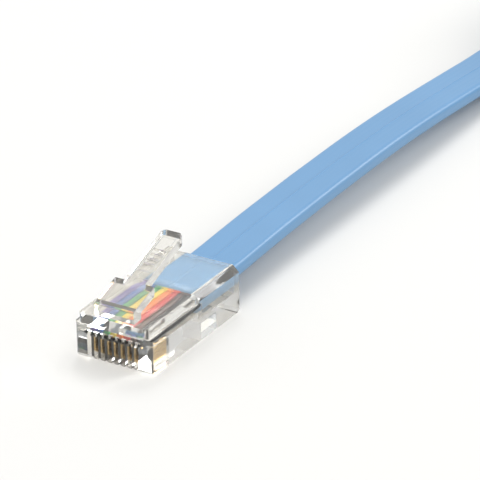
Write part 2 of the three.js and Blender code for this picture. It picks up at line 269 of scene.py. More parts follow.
def surface(tree, shader):
    output = tree.nodes.new("ShaderNodeOutputMaterial")
    tree.links.new(shader.outputs[0], output.inputs["Surface"])


def painted_shade_distance(tree, place, middle, corner, side, limits):
    """How far each point is from an edge of the plugs where shade is painted; the plugs mirror each
    other about the middle.
    """
    moved = add_node(
        tree, "ShaderNodeVectorMath", {"operation": "SUBTRACT"}, Vector=place.outputs["Object"]
    )
    moved.inputs[1].default_value = (middle, 0, 0)
    folded = add_node(
        tree, "ShaderNodeVectorMath", {"operation": "ABSOLUTE"}, Vector=moved.outputs["Vector"]
    )
    past = add_node(
        tree, "ShaderNodeVectorMath", {"operation": "SUBTRACT"}, Vector=folded.outputs["Vector"]
    )
    past.inputs[1].default_value = corner
    held = add_node(
        tree, "ShaderNodeVectorMath", {"operation": side}, Vector=past.outputs["Vector"]
    )
    held.inputs[1].default_value = limits
    return add_node(
        tree, "ShaderNodeVectorMath", {"operation": "LENGTH"}, Vector=held.outputs["Vector"]
    )


def moulded_polycarbonate(settings):
    """Clear injection-moulded polycarbonate: glassy, with flow waves, a slight milky haze and
    painted shade lines.

    Its index is under the real 1.585, at which light caught inside turned the walls black.
    """
    material, tree = new_material("moulded polycarbonate")
    place = add_node(tree, "ShaderNodeTexCoord")
    # Flow waves of about 2.5 mm, which make the reflections wander as on a real moulding
    flow = add_node(
        tree, "ShaderNodeTexNoise", {"Scale": 1 / (2.5 * MM), "Detail": 2.0, "Roughness": 0.4},
        Vector=place.outputs["Object"],
    )
    bump = add_node(
        tree, "ShaderNodeBump", {"Strength": 0.25, "Distance": 0.05 * MM},
        Height=flow.outputs["Fac"],
    )
    # Painted shade: dark lines of about half a millimetre, painted into the colour where total
    # reflection blackens the ledge's edge and the comb's top
    middle = (SHELL_LOW.x + FAR_NOSE) / 2
    nose = FAR_NOSE - middle
    edge = (nose - LEDGE_LENGTH, PLUG_WIDTH / 2, LEDGE_HEIGHT)
    ledge = painted_shade_distance(tree, place, middle, edge, "MINIMUM", (0, 1, 1))
    comb = painted_shade_distance(tree, place, middle, (nose, COMB_HALF, COMB_TOP), "MAXIMUM", (-1, 0, -1))
    shade_distance = add_node(tree, "ShaderNodeMath", {"operation": "MINIMUM"})
    tree.links.new(ledge.outputs["Value"], shade_distance.inputs[0])
    tree.links.new(comb.outputs["Value"], shade_distance.inputs[1])
    clear = add_node(
        tree, "ShaderNodeMapRange", {"From Min": 0.22 * MM, "From Max": 0.32 * MM},
        Value=shade_distance.outputs["Value"],
    )
    # Near-black painted shade on the lines, the plastic's own pale colour elsewhere
    tint = add_node(tree, "ShaderNodeMix", {"data_type": "RGBA"}, Factor=clear.outputs["Result"])
    tint.inputs[6].default_value = linear("#121316")
    tint.inputs[7].default_value = linear("#F3F1EC")
    shader = add_node(
        tree, "ShaderNodeBsdfPrincipled",
        {"Roughness": settings.gloss, "IOR": 1.38, "Transmission Weight": 0.95},
        Base_Color=tint.outputs[2], Normal=bump.outputs["Normal"],
    )
    surface(tree, shader)
    return material


def plated_gold():
    """Hard gold plating on stamped bronze: warm metal with fine rolling lines."""
    material, tree = new_material("plated gold")
    place = add_node(tree, "ShaderNodeTexCoord")
    stretch = add_node(
        tree, "ShaderNodeMapping", {"Scale": (0.1, 1, 1)}, Vector=place.outputs["Object"]
    )
    # Rolling lines every 0.1 mm or so along the blade
    lines = add_node(
        tree, "ShaderNodeTexNoise", {"Scale": 1 / (0.1 * MM)}, Vector=stretch.outputs["Vector"]
    )
    rough = add_node(
        tree, "ShaderNodeMapRange", {"To Min": 0.18, "To Max": 0.34}, Value=lines.outputs["Fac"]
    )
    shader = add_node(
        tree, "ShaderNodeBsdfPrincipled",
        {"Base Color": linear("#D6B880"), "Metallic": 1.0},
        Roughness=rough.outputs["Result"],
    )
    surface(tree, shader)
    return material


def extruded_insulation(name, colour):
    """Extruded wire insulation: a solid colour with the slight unevenness of a thin jacket."""
    material, tree = new_material(f"extruded insulation {name}")
    place = add_node(tree, "ShaderNodeTexCoord")
    # Shade changes over about 1.5 mm, as where the wire was pressed in the comb
    blotch = add_node(
        tree, "ShaderNodeTexNoise", {"Scale": 1 / (1.5 * MM), "Detail": 3.0},
        Vector=place.outputs["Object"],
    )
    shade = add_node(
        tree, "ShaderNodeMapRange", {"To Min": 0.82, "To Max": 1.08}, Value=blotch.outputs["Fac"]
    )
    tint = add_node(
        tree, "ShaderNodeVectorMath", {"operation": "SCALE"}, Scale=shade.outputs["Result"]
    )
    tint.inputs[0].default_value = linear(colour)[:3]
    shader = add_node(
        tree, "ShaderNodeBsdfPrincipled", {"Roughness": 0.38, "IOR": 1.5},
        Base_Color=tint.outputs["Vector"],
    )
    surface(tree, shader)
    return material


def satin_vinyl(settings):
    """Extruded satin vinyl: soft, even blue with a dull shine along its edges."""
    material, tree = new_material("satin vinyl")
    place = add_node(tree, "ShaderNodeTexCoord")
    # Broad shade changes over about 9 mm and a fine orange peel of 0.25 mm
    broad = add_node(
        tree, "ShaderNodeTexNoise", {"Scale": 1 / (9 * MM), "Detail": 2.0},
        Vector=place.outputs["Object"],
    )
    peel = add_node(
        tree, "ShaderNodeTexNoise", {"Scale": 1 / (0.25 * MM), "Detail": 2.0},
        Vector=place.outputs["Object"],
    )
    shade = add_node(
        tree, "ShaderNodeMapRange", {"To Min": 0.94, "To Max": 1.05}, Value=broad.outputs["Fac"]
    )
    tint = add_node(
        tree, "ShaderNodeVectorMath", {"operation": "SCALE"}, Scale=shade.outputs["Result"]
    )
    tint.inputs[0].default_value = settings.colour
    bump = add_node(
        tree, "ShaderNodeBump", {"Strength": 0.15, "Distance": 0.02 * MM},
        Height=peel.outputs["Fac"],
    )
    shader = add_node(
        tree, "ShaderNodeBsdfPrincipled", {"Roughness": 0.36, "IOR": 1.53},
        Base_Color=tint.outputs["Vector"], Normal=bump.outputs["Normal"],
    )
    surface(tree, shader)
    return material


def woven_nylon():
    """Woven nylon hook-and-loop strap: matt black, with a looped pile that catches light."""
    material, tree = new_material("woven nylon")
    place = add_node(tree, "ShaderNodeTexCoord")
    # Loops of 0.45 mm, drawn a little coarser than real so that they show
    loops = add_node(
        tree, "ShaderNodeTexVoronoi", {"Scale": 1 / (0.45 * MM)}, Vector=place.outputs["Object"]
    )
    bump = add_node(
        tree, "ShaderNodeBump", {"Strength": 0.8, "Distance": 0.12 * MM},
        Height=loops.outputs["Distance"],
    )
    shade = add_node(
        tree, "ShaderNodeMapRange", {"To Min": 0.6, "To Max": 1.5}, Value=loops.outputs["Distance"]
    )
    tint = add_node(
        tree, "ShaderNodeVectorMath", {"operation": "SCALE"}, Scale=shade.outputs["Result"]
    )
    tint.inputs[0].default_value = linear("#2A2B2E")[:3]
    shader = add_node(
        tree, "ShaderNodeBsdfPrincipled", {"Roughness": 0.85, "Sheen Weight": 0.3},
        Base_Color=tint.outputs["Vector"], Normal=bump.outputs["Normal"],
    )
    surface(tree, shader)
    return material


def studio_paper(settings):
    """Matt white paper sweep: plain and pale, so that only the soft shadow shows."""
    material, tree = new_material("studio paper")
    shader = add_node(
        tree, "ShaderNodeBsdfPrincipled",
        {"Base Color": (*settings.floor_colour, 1.0), "Roughness": 0.9},
    )
    surface(tree, shader)
    return material


def shared(name, make, *values):
    """The material of that name, made once."""
    return bpy.data.materials.get(name) or make(*values)


# Mesh helpers


def linked(name, mesh):
    thing = bpy.data.objects.new(name, mesh)
    bpy.context.scene.collection.objects.link(thing)
    return thing


def mesh_object(name, points, faces, smooth=True):
    mesh = bpy.data.meshes.new(name)
    mesh.from_pydata([tuple(p) for p in points], [], faces)
    mesh.validate()
    mesh.shade_smooth() if smooth else mesh.shade_flat()
    return linked(name, mesh)


def baked(thing):
    """The object with its modifiers worked into a plain mesh."""
    bpy.context.view_layer.update()
    graph = bpy.context.evaluated_depsgraph_get()
    mesh = bpy.data.meshes.new_from_object(thing.evaluated_get(graph), depsgraph=graph)
    mesh.name = thing.name
    name = thing.name
    bpy.data.objects.remove(thing)
    return linked(name, mesh)


def with_modifier(thing, kind, **settings):
    modifier = thing.modifiers.new(kind.title(), kind)
    for name, value in settings.items():
        setattr(modifier, name, value)
    return baked(thing)


def cut(thing, other, operation="DIFFERENCE"):
    """thing joined with, cut by or kept inside another mesh, which is then removed."""
    done = with_modifier(thing, "BOOLEAN", object=other, operation=operation, solver="EXACT")
    bpy.data.objects.remove(other)
    return done


def rounded(thing, radius):
    """The object with its sharp edges rounded, as a mould leaves them."""
    return with_modifier(
        thing, "BEVEL", width=radius, segments=2, limit_method="ANGLE",
        angle_limit=math.radians(30), use_clamp_overlap=True, harden_normals=True,
    )


def tube_faces(rings, count):
    """Faces of a tube made of rings with count points each, closed at both ends."""
    last = rings * count
    faces = [tuple(range(count)), tuple(range(last - 1, last - count - 1, -1))]
    for ring in range(rings - 1):
        for i in range(count):
            a, b = ring * count + i, ring * count + (i + 1) % count
            faces.append((a, a + count, b + count, b))
    return faces


def prism(name, outline, axis, low, high):
    """A flat outline drawn out along an axis. The outline holds the other two axes in order."""
    places = {"X": (1, 2, 0), "Y": (0, 2, 1), "Z": (0, 1, 2)}[axis]
    points = []
    for depth in (low, high):
        for a, b in outline:
            point = [0.0, 0.0, 0.0]
            for slot, value in zip(places, (a, b, depth), strict=True):
                point[slot] = value
            points.append(point)
    count = len(outline)
    faces = [tuple(range(count)), tuple(range(2 * count - 1, count - 1, -1))]
    faces += [(i, i + count, (i + 1) % count + count, (i + 1) % count) for i in range(count)]
    thing = mesh_object(name, points, faces, smooth=False)
    outward(thing)
    return thing


def box(name, low, high):
    outline = [(low[0], low[1]), (high[0], low[1]), (high[0], high[1]), (low[0], high[1])]
    return prism(name, outline, "Z", low[2], high[2])


def outward(thing):
    """Faces turned to point out of a closed mesh."""
    shape = bmesh.new()
    shape.from_mesh(thing.data)
    bmesh.ops.recalc_face_normals(shape, faces=shape.faces)
    shape.to_mesh(thing.data)
    shape.free()


def arc(middle, radius, start, end, steps):
    """Points on an arc, in degrees."""
    angles = [math.radians(start + (end - start) * i / steps) for i in range(steps + 1)]
    return [(middle[0] + radius * math.cos(a), middle[1] + radius * math.sin(a)) for a in angles]


def plug_place(side):
    """From a plug's own frame, nose at zero and cable towards +X, to its place in the row."""
    if side == "near":
        return Matrix.Translation((-PLUG_LENGTH / 2, 0, 0))
    return Matrix.Translation((FAR_NOSE, 0, 0)) @ Matrix.Rotation(math.pi, 4, "Z")


def finished(thing, material, body, nodes):
    """Material, body and the CAD nodes that the piece stands for, which are hidden."""
    thing.data.materials.clear()
    thing.data.materials.append(material)
    if body:
        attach(thing, body)
    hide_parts(*nodes)
    return thing


def lets_light_in(thing):
    """Clear plastic passes the lamps' light on to what is inside and keeps only the sky's shade."""
    clear = bpy.data.collections["clear pieces"]
    clear.objects.link(thing)
    clear.collection_objects[-1].light_linking.link_state = "EXCLUDE"


def wire_side(index, pitch):
    """Where a wire of that index lies across the plug, from the violet one's side."""
    return ((WIRE_COUNT - 1) / 2 - index) * pitch


# Geometry node trees


def new_tree(name, inputs):
    """A geometry tree with its group's own inputs: name, socket type and default value."""
    tree = bpy.data.node_groups.new(name, "GeometryNodeTree")
    tree.interface.new_socket("Geometry", in_out="INPUT", socket_type="NodeSocketGeometry")
    for label, kind, default in inputs:
        socket = tree.interface.new_socket(label, in_out="INPUT", socket_type=kind)
        if default is not None:
            socket.default_value = default
    tree.interface.new_socket("Geometry", in_out="OUTPUT", socket_type="NodeSocketGeometry")
    return tree, tree.nodes.new("NodeGroupInput"), tree.nodes.new("NodeGroupOutput")


def closed_tree(tree, group_in, group_out, made):
    """The end of each tree: real geometry in place of instances, with its material."""
    real = add_node(tree, "GeometryNodeRealizeInstances", Geometry=made)
    dressed = add_node(
        tree, "GeometryNodeSetMaterial",
        Geometry=real.outputs["Geometry"], Material=group_in.outputs["Material"],
    )
    tree.links.new(dressed.outputs["Geometry"], group_out.inputs["Geometry"])
    return tree


def insulated_wire_tree():
    """A round wire swept along the object's own line, closed at both ends."""
    tree, group_in, group_out = new_tree(
        "insulated wire",
        [("Radius", "NodeSocketFloat", WIRE_RADIUS), ("Material", "NodeSocketMaterial", None)],
    )
    line = add_node(tree, "GeometryNodeMeshToCurve", Mesh=group_in.outputs["Geometry"])
    ring = add_node(
        tree, "GeometryNodeCurvePrimitiveCircle", {"Resolution": 16},
        Radius=group_in.outputs["Radius"],
    )
    skin = add_node(
        tree, "GeometryNodeCurveToMesh", {"Fill Caps": True},
        Curve=line.outputs["Curve"], Profile_Curve=ring.outputs["Curve"],
    )
    return closed_tree(tree, group_in, group_out, skin.outputs["Mesh"])


def row_tree():
    """Copies of the object's own shape in a row, at an even spacing."""
    tree, group_in, group_out = new_tree(
        "row of copies",
        [
            ("Count", "NodeSocketInt", WIRE_COUNT),
            ("Start", "NodeSocketVector", None),
            ("Step", "NodeSocketVector", None),
            ("Material", "NodeSocketMaterial", None),
        ],
    )
    row = add_node(
        tree, "GeometryNodeMeshLine", {"mode": "OFFSET"},
        Count=group_in.outputs["Count"], Start_Location=group_in.outputs["Start"],
        Offset=group_in.outputs["Step"],
    )
    copies = add_node(
        tree, "GeometryNodeInstanceOnPoints",
        Points=row.outputs["Mesh"], Instance=group_in.outputs["Geometry"],
    )
    return closed_tree(tree, group_in, group_out, copies.outputs["Instances"])


def grown(thing, make_tree, **values):
    """The object's mesh after a geometry tree, with the tree's inputs set by their names."""
    tree = make_tree()
    modifier = thing.modifiers.new(tree.name, "NODES")
    modifier.node_group = tree
    sockets = {s.name: s.identifier for s in tree.interface.items_tree if s.in_out == "INPUT"}
    for name, value in values.items():
        modifier[sockets[name]] = value
    return baked(thing)


# Plug pieces, each in the plug's own frame


def shell_piece(side, settings):
    """The clear shell: the CAD solid with the latch's root taken off and its edges rounded."""
    mesh = frame["nodes"][f"{side}_shell"].data.copy()
    shape = bmesh.new()
    shape.from_mesh(mesh)
    bmesh.ops.remove_doubles(shape, verts=shape.verts, dist=0.001 * MM)
    level = PLUG_HEIGHT + SINK / 5
    everything = shape.verts[:] + shape.edges[:] + shape.faces[:]
    bmesh.ops.bisect_plane(
        shape, geom=everything, plane_co=(0, 0, level), plane_no=(0, 0, 1), clear_outer=True
    )
    rim = [e for e in shape.edges if e.is_boundary]
    bmesh.ops.contextual_create(shape, geom=rim)
    bmesh.ops.dissolve_limit(
        shape, angle_limit=math.radians(1), verts=shape.verts, edges=shape.edges
    )
    shape.to_mesh(mesh)
    shape.free()
    mesh.materials.clear()
    return rounded(linked(f"{side}_clear_shell", mesh), settings.edge_radius)


def latch_top(x):
    """The latch's top surface over a place along the plug."""
    if x < SHOULDER[0]:
        share = (x - ROOT_FRONT) / (SHOULDER[0] - ROOT_FRONT)
        return ROOT_TOP + share * (SHOULDER[1] - ROOT_TOP)
    share = (x - SHOULDER[0]) / (TIP[0] - SHOULDER[0])
    return SHOULDER[1] + share * (TIP[1] - SHOULDER[1])


def latch_piece(side, settings):
    """Root and lever as one moulding, with a recessed grip panel that carries plain ribs."""
    slope = math.atan2(TIP[1] - SHOULDER[1], TIP[0] - SHOULDER[0])
    drop = LATCH_THICKNESS / math.cos(slope)
    start = ROOT_BACK + FIT
    lip = 0.1 * MM
    profile = [
        (ROOT_FRONT, PLUG_HEIGHT - SINK),
        (ROOT_BACK, PLUG_HEIGHT - SINK),
        (ROOT_BACK, latch_top(start) - drop - lip),
        (start, latch_top(start) - drop),
        (SHOULDER[0], SHOULDER[1] - drop),
        (TIP[0], TIP[1] - drop),
        TIP,
        SHOULDER,
        (ROOT_FRONT, ROOT_TOP),
    ]
    edge = LEVER_WIDTH / 2
    wide = LATCH_WIDTH / 2
    plan = [(ROOT_FRONT, -wide), (SHOULDER[0], -wide), (SHOULDER[0], -edge)]
    plan += arc((TIP[0] - TIP_RADIUS, TIP_RADIUS - edge), TIP_RADIUS, -90, 0, 6)
    plan += arc((TIP[0] - TIP_RADIUS, edge - TIP_RADIUS), TIP_RADIUS, 0, 90, 6)
    plan += [(SHOULDER[0], edge), (SHOULDER[0], wide), (ROOT_FRONT, wide)]
    body = prism(f"{side}_clear_latch", profile, "Y", -wide - MM, wide + MM)
    body = cut(body, prism("plan", plan, "Z", 0, TIP[1] + MM), "INTERSECT")
    long = math.hypot(TIP[0] - SHOULDER[0], TIP[1] - SHOULDER[1])
    tilt = Matrix.Translation((SHOULDER[0], 0, SHOULDER[1])) @ Matrix.Rotation(-slope, 4, "Y")
    rim = edge - GRIP_RIM
    panel = box("panel", (GRIP_START, -rim, -GRIP_DEPTH), (long - GRIP_END, rim, MM))
    panel.data.transform(tilt)
    body = cut(body, panel)
    # Cuts across the root, so that it bends there in a smooth curve
    shape = bmesh.new()
    shape.from_mesh(body.data)
    for off in BEND_CUTS:
        where = (ROOT_BACK + off * MM, 0, 0)
        everything = shape.verts[:] + shape.edges[:] + shape.faces[:]
        bmesh.ops.bisect_plane(shape, geom=everything, plane_co=where, plane_no=(1, 0, 0))
    shape.to_mesh(body.data)
    shape.free()
    body = rounded(body, settings.edge_radius)
    low, high = (-RIB_HALF, RIB_GAP - rim, RIB_BOTTOM), (RIB_HALF, rim - RIB_GAP, RIB_TOP)
    ribs = grown(
        box(f"{side}_grip_ribs", low, high), row_tree, Count=RIB_COUNT,
        Start=(RIB_START, 0, 0), Step=(RIB_PITCH, 0, 0),
        Material=shared("moulded polycarbonate", moulded_polycarbonate, settings),
    )
    ribs.data.transform(tilt)
    return body, ribs


def contact_row(side):
    """Stamped blades: a round nose below, and two teeth above that bite into the wire."""
    back = CONTACT_FRONT + CONTACT_LENGTH
    radius = CONTACT_NOSE_RADIUS
    bite = WIRE_HEIGHT + TOOTH_BITE
    outline = [(back, CONTACT_BOTTOM + CONTACT_HEEL), (back, CONTACT_TOP)]
    for off in TEETH:
        tooth = back - off
        outline += [
            (tooth + TOOTH_FOOT, CONTACT_TOP),
            (tooth + TOOTH_TIP, bite),
            (tooth - TOOTH_TIP, bite),
            (tooth - TOOTH_FOOT, CONTACT_TOP),
        ]
    outline += [(CONTACT_FRONT, CONTACT_TOP)]
    outline += arc((CONTACT_FRONT + radius, CONTACT_BOTTOM + radius), radius, 180, 270, 8)
    outline += [(back - CONTACT_HEEL, CONTACT_BOTTOM)]
    half = CONTACT_THICKNESS / 2
    blade = prism(f"{side}_contacts", outline, "Y", -half, half)
    blade = with_modifier(
        blade, "BEVEL", width=0.04 * MM, segments=1, limit_method="ANGLE",
        angle_limit=math.radians(50),
    )
    return grown(
        blade, row_tree, Count=WIRE_COUNT, Start=(0, wire_side(0, PITCH), 0),
        Step=(0, -PITCH, 0), Material=shared("plated gold", plated_gold),
    )


def wire_piece(side, index, name, colour):
    """One wire from the comb at the nose back to its place in the jacket."""
    comb = wire_side(index, PITCH)
    inner = wire_side(index, CABLE_WIRE_PITCH)
    end = JACKET_END - FIT
    knots = [
        (WIRE_FRONT, comb, WIRE_HEIGHT),
        ((WIRE_FRONT + end - WIRE_FAN) / 2, comb, WIRE_HEIGHT),
        (end - WIRE_FAN, comb, WIRE_HEIGHT),
        (end - WIRE_FAN / 2, (comb + inner) / 2, (WIRE_HEIGHT + CABLE_HEIGHT) / 2),
        (end, inner, CABLE_HEIGHT),
    ]
    points = smooth_line(knots, STEPS_PER_KNOT)
    mesh = bpy.data.meshes.new(f"{side}_wire_{name}")
    mesh.from_pydata([tuple(p) for p in points], [(i, i + 1) for i in range(len(points) - 1)], [])
    line = linked(f"{side}_insulated_{name}", mesh)
    material = shared(f"extruded insulation {name}", extruded_insulation, name, colour)
    wire = grown(line, insulated_wire_tree, Radius=WIRE_RADIUS, Material=material)
    wire.data.shade_smooth()
    return wire, material


# Cable route


def smooth_line(knots, steps):
    """Points on a centripetal curve through the knots, with its ends drawn straight out."""
    knots = [np.array(k, float) for k in knots]
    knots = [2 * knots[0] - knots[1], *knots, 2 * knots[-1] - knots[-2]]
    points = []
    for a, b, c, d in zip(knots, knots[1:], knots[2:], knots[3:]):
        gaps = [max(np.linalg.norm(q - p) ** 0.5, 1e-9) for p, q in ((a, b), (b, c), (c, d))]
        at = np.cumsum([0, *gaps])
        for i in range(steps):
            t = at[1] + gaps[1] * i / steps
            ab = a + (b - a) * (t - at[0]) / gaps[0]
            bc = b + (c - b) * (t - at[1]) / gaps[1]
            cd = c + (d - c) * (t - at[2]) / gaps[2]
            abc = ab + (bc - ab) * (t - at[0]) / (gaps[0] + gaps[1])
            bcd = bc + (cd - bc) * (t - at[1]) / (gaps[1] + gaps[2])
            points.append(abc + (bcd - abc) * (t - at[1]) / gaps[1])
    points.append(knots[-2])
    return points


def ease(value, low, high):
    """A smooth step from 0 at low to 1 at high."""
    share = min(max((value - low) / (high - low), 0), 1)
    return share * share * (3 - 2 * share)


def twist_at(x):
    """How far the cable has turned on to its edge, as an angle."""
    return math.pi / 2 * (ease(x, *TWIST_IN) - ease(x, *TWIST_OUT))


def lying_height(x):
    """The cable's middle above the floor when it lies there, turned as it is at x."""
    turn = twist_at(x)
    return FLOOR_GAP + HALF_CABLE * math.cos(turn) + CABLE_WIDTH / 2 * math.sin(turn)


def placed_route(route):
    """A route's knots in metres, with their lift added to the height that the cable lies at."""
    return [(x * MM, y * MM, lift * MM + lying_height(x * MM)) for x, y, lift in route]


def turn_radius(turn):
    """The end loops' radius: in from the outside in the lower layer, out again in the upper."""
    rising = sum(RISE) / 2
    dip = RISE_DIP * max(0, 1 - abs(turn - rising) / RISE_DIP_TURNS)
    low = TURN_RADIUS - TURN_PITCH * turn
    high = TURN_RADIUS - TURN_PITCH * (LAST_TURN - turn)
    return max(low, high) - dip


def hank_point(turn):
    """The cable's middle at a count of turns: run, far loop, run back, near loop."""
    share = turn % 1
    radius = turn_radius(turn)
    height = FLOOR_GAP + CABLE_WIDTH / 2 + LAYER_LIFT * ease(turn, *RISE)
    going_out = share < RUN_SHARE
    if RUN_SHARE <= share < RUN_BACK:
        angle = math.pi * (0.5 - (share - RUN_SHARE) / LOOP_SHARE)
        return (HANK_END + radius * math.cos(angle), HANK_SIDE + radius * math.sin(angle), height)
    if share >= NEAR_LOOP:
        angle = math.pi * (1.5 - (share - NEAR_LOOP) / LOOP_SHARE)
        return (HANK_START + radius * math.cos(angle), HANK_SIDE + radius * math.sin(angle), height)
    way = share / RUN_SHARE if going_out else (share - RUN_BACK) / RUN_SHARE
    waist = WAIST_INNER + (radius - INNER_RADIUS) * (
        (WAIST_OUTER - WAIST_INNER) / (TURN_RADIUS - INNER_RADIUS)
    )
    drawn = (1 - math.cos(2 * math.pi * way)) / 2
    side = radius + (waist - radius) * drawn
    off = abs(way - 0.5) * HANK_RUN
    height += (STRAP_THICKNESS + FLOOR_GAP) * (1 - ease(off, *STRAP_REACH))
    if going_out:
        return (HANK_START + way * HANK_RUN, HANK_SIDE + side, height)
    return (HANK_END - way * HANK_RUN, HANK_SIDE - side, height)


def cable_route(spacing):
    """The whole route at an even spacing: its points, and the twist at each."""
    count = int(LAST_TURN * STEPS_PER_TURN)
    turns = [LAST_TURN * i / count for i in range(count)] + [LAST_TURN - 1e-9]
    lead, tail = (smooth_line(placed_route(r), STEPS_PER_KNOT) for r in (LEAD_ROUTE, TAIL_ROUTE))
    points = np.array([*lead, *(hank_point(turn) for turn in turns), *tail])
    along = np.concatenate([[0], np.cumsum(np.linalg.norm(np.diff(points, axis=0), axis=1))])
    keep = np.concatenate([[True], np.diff(along) > 1e-7])
    points, along = points[keep], along[keep]
    even = np.linspace(0, along[-1], int(along[-1] / spacing) + 1)
    spread = np.stack([np.interp(even, along, points[:, k]) for k in range(3)], axis=1)
    inside = (even > along_of(points, along, HANK_START, True)) & (
        even < along_of(points, along, HANK_END, False)
    )
    twist = [math.pi / 2 if hold else twist_at(p[0]) for hold, p in zip(inside, spread)]
    return spread, twist, float(along[-1])


def along_of(points, along, x, first):
    """How far along the route it first, or last, passes a place along X."""
    past = np.flatnonzero(points[:, 0] > x)
    return along[past[0]] if first else along[np.flatnonzero(points[:, 0] < x)[-1]]


def lobe_dip(w):
    """How far the jacket's face lies under its lobes at a place across it."""
    return LOBE_DEPTH * (1 - math.cos(2 * math.pi * (w / CABLE_WIRE_PITCH - 0.5))) / 2


def cable_section():
    """Thickness and width of the jacket's outline: shallow lobes over the wires, a rib on top."""
    points = []
    flat = CABLE_WIDTH / 2 - CABLE_CORNER
    columns = SECTION_COLUMNS
    across = [flat - 2 * flat * i / columns for i in range(columns + 1)]
    across += [side * CABLE_RIB_STEP for side in (-3, -2, -1, 1, 2, 3)]
    for w in sorted(across, reverse=True):
        rib = CABLE_RIB_HEIGHT * math.exp(-((w / CABLE_RIB_WIDTH) ** 2))
        points.append((HALF_CABLE - lobe_dip(w) + rib, w))
    points += arc((HALF_CABLE - CABLE_CORNER, -flat), CABLE_CORNER, -10, -80, 5)
    points += arc((CABLE_CORNER - HALF_CABLE, -flat), CABLE_CORNER, -100, -170, 5)
    for i in range(columns + 1):
        w = 2 * flat * i / columns - flat
        points.append((lobe_dip(w) - HALF_CABLE, w))
    points += arc((CABLE_CORNER - HALF_CABLE, flat), CABLE_CORNER, 170, 100, 5)
    points += arc((HALF_CABLE - CABLE_CORNER, flat), CABLE_CORNER, 80, 10, 5)
    return points


def swept(name, route, twist, section):
    """A section carried along a route and turned by the twist, closed at both ends."""
    route = np.array(route)
    tangents = np.gradient(route, axis=0)
    tangents /= np.linalg.norm(tangents, axis=1)[:, None]
    points = []
    for place, along, turn in zip(route, tangents, twist, strict=True):
        side = np.array([along[1], -along[0], 0])
        side /= np.linalg.norm(side)
        up = np.cross(side, along)
        normal = up * math.cos(turn) + side * math.sin(turn)
        across = np.cross(along, normal)
        points += [place + normal * thick + across * wide for thick, wide in section]
    thing = mesh_object(name, points, tube_faces(len(route), len(section)))
    outward(thing)
    return thing


# Strap


def strap_piece(low, high):
    """A band that goes once round and laps over its own start on top."""
    middle = (low + high) / 2
    half = (high.y - low.y) / 2 - STRAP_THICKNESS / 2
    bottom = low.z + STRAP_THICKNESS / 2
    top = high.z - 1.5 * STRAP_THICKNESS
    upper = top + STRAP_THICKNESS
    corner = STRAP_CORNER
    ends = STRAP_LAP / 2
    loop = [(STRAP_RAMP - ends, top), (ends, top), (half - corner, top)]
    loop += arc((half - corner, top - corner), corner, 90, 0, 6)[1:]
    loop += arc((half - corner, bottom + corner), corner, 0, -90, 6)
    loop += arc((corner - half, bottom + corner), corner, -90, -180, 6)
    loop += arc((corner - half, top - corner), corner, 180, 90, 6)
    loop += [(-ends - STRAP_RISE, top), (-ends, top + 0.6 * STRAP_THICKNESS)]
    loop += [(STRAP_RAMP - ends, upper), (ends, upper)]
    points = [np.array([y, z]) for y, z in loop]
    wide = (high.x - low.x) / 2
    # A little thin, so that the lap's two layers don't share a face
    thick = STRAP_THICKNESS / 2 * 0.98
    flat, face = wide - STRAP_BEVEL, thick - STRAP_BEVEL
    section = [
        (-wide, -face), (-wide, face), (-flat, thick), (flat, thick),
        (wide, face), (wide, -face), (flat, -thick), (-flat, -thick),
    ]
    verts = []
    for i, point in enumerate(points):
        way = points[min(i + 1, len(points) - 1)] - points[max(i - 1, 0)]
        way /= np.linalg.norm(way)
        out = np.array([-way[1], way[0]])
        verts += [
            (middle.x + x, middle.y + point[0] + out[0] * t, point[1] + out[1] * t)
            for x, t in section
        ]
    strap = mesh_object("hook_loop_strap", verts, tube_faces(len(points), len(section)))
    outward(strap)
    return strap


# Settings that a user would change


class StageSettings(bpy.types.PropertyGroup):
    """Floor, lights and camera."""

    floor_colour: bpy.props.FloatVectorProperty(
        name="Floor colour", description="Colour of the paper sweep", subtype="COLOR",
        default=linear("#E0DFDC")[:3], min=0, max=1,
    )
    key_power: bpy.props.FloatProperty(
        name="Key light", description="Power of the large soft light", subtype="POWER", default=2.0
    )
    camera_distance: bpy.props.FloatProperty(
        name="Camera distance", description="From the camera to what it looks at",
        unit="LENGTH", default=0.5,
    )


class PlugSettings(bpy.types.PropertyGroup):
    """Both plugs."""

    edge_radius: bpy.props.FloatProperty(
        name="Edge radius", description="Rounding of the shell's moulded edges",
        unit="LENGTH", default=0.1 * MM,
    )
    gloss: bpy.props.FloatProperty(
        name="Shell roughness", description="Roughness of the clear shell", subtype="FACTOR",
        default=0.04, min=0, max=1,
    )


class CableSettings(bpy.types.PropertyGroup):
    """The flat cable and its strap."""

    colour: bpy.props.FloatVectorProperty(
        name="Jacket colour", description="Colour of the flat jacket", subtype="COLOR",
        default=linear("#6593BC")[:3], min=0, max=1,
    )
    spacing: bpy.props.FloatProperty(
        name="Step", description="Distance between the jacket's rings", unit="LENGTH",
        default=2 * MM, min=0.5 * MM,
    )


# Operators


class ConsoleStage(bpy.types.Operator):
    """Camera at the photograph's angle, soft studio lights and a pale floor"""

    bl_idname = "console_cable.stage"
    bl_label = "Stage"

    def execute(self, context):
        settings = context.scene.console_stage
        make_camera(settings)
        make_lights(settings)
        make_floor(settings)
        return {"FINISHED"}


class ConsoleCord(bpy.types.Operator):
    """The flat cable on its whole route"""

    bl_idname = "console_cable.cord"
    bl_label = "Flat cable"

    def execute(self, context):
        settings = context.scene.console_cable
        route, twist, length = cable_route(settings.spacing)
        cable = swept("flat_cable", route, twist, cable_section())
        nodes = ("cable_lead", "cable_tail", "hank")
        material = shared("satin vinyl", satin_vinyl, settings)
        finished(cable, material, "cable", nodes)
        context.scene["route"] = [c for p in route for c in p]
        print("cable length", round(length, 4))
        return {"FINISHED"}


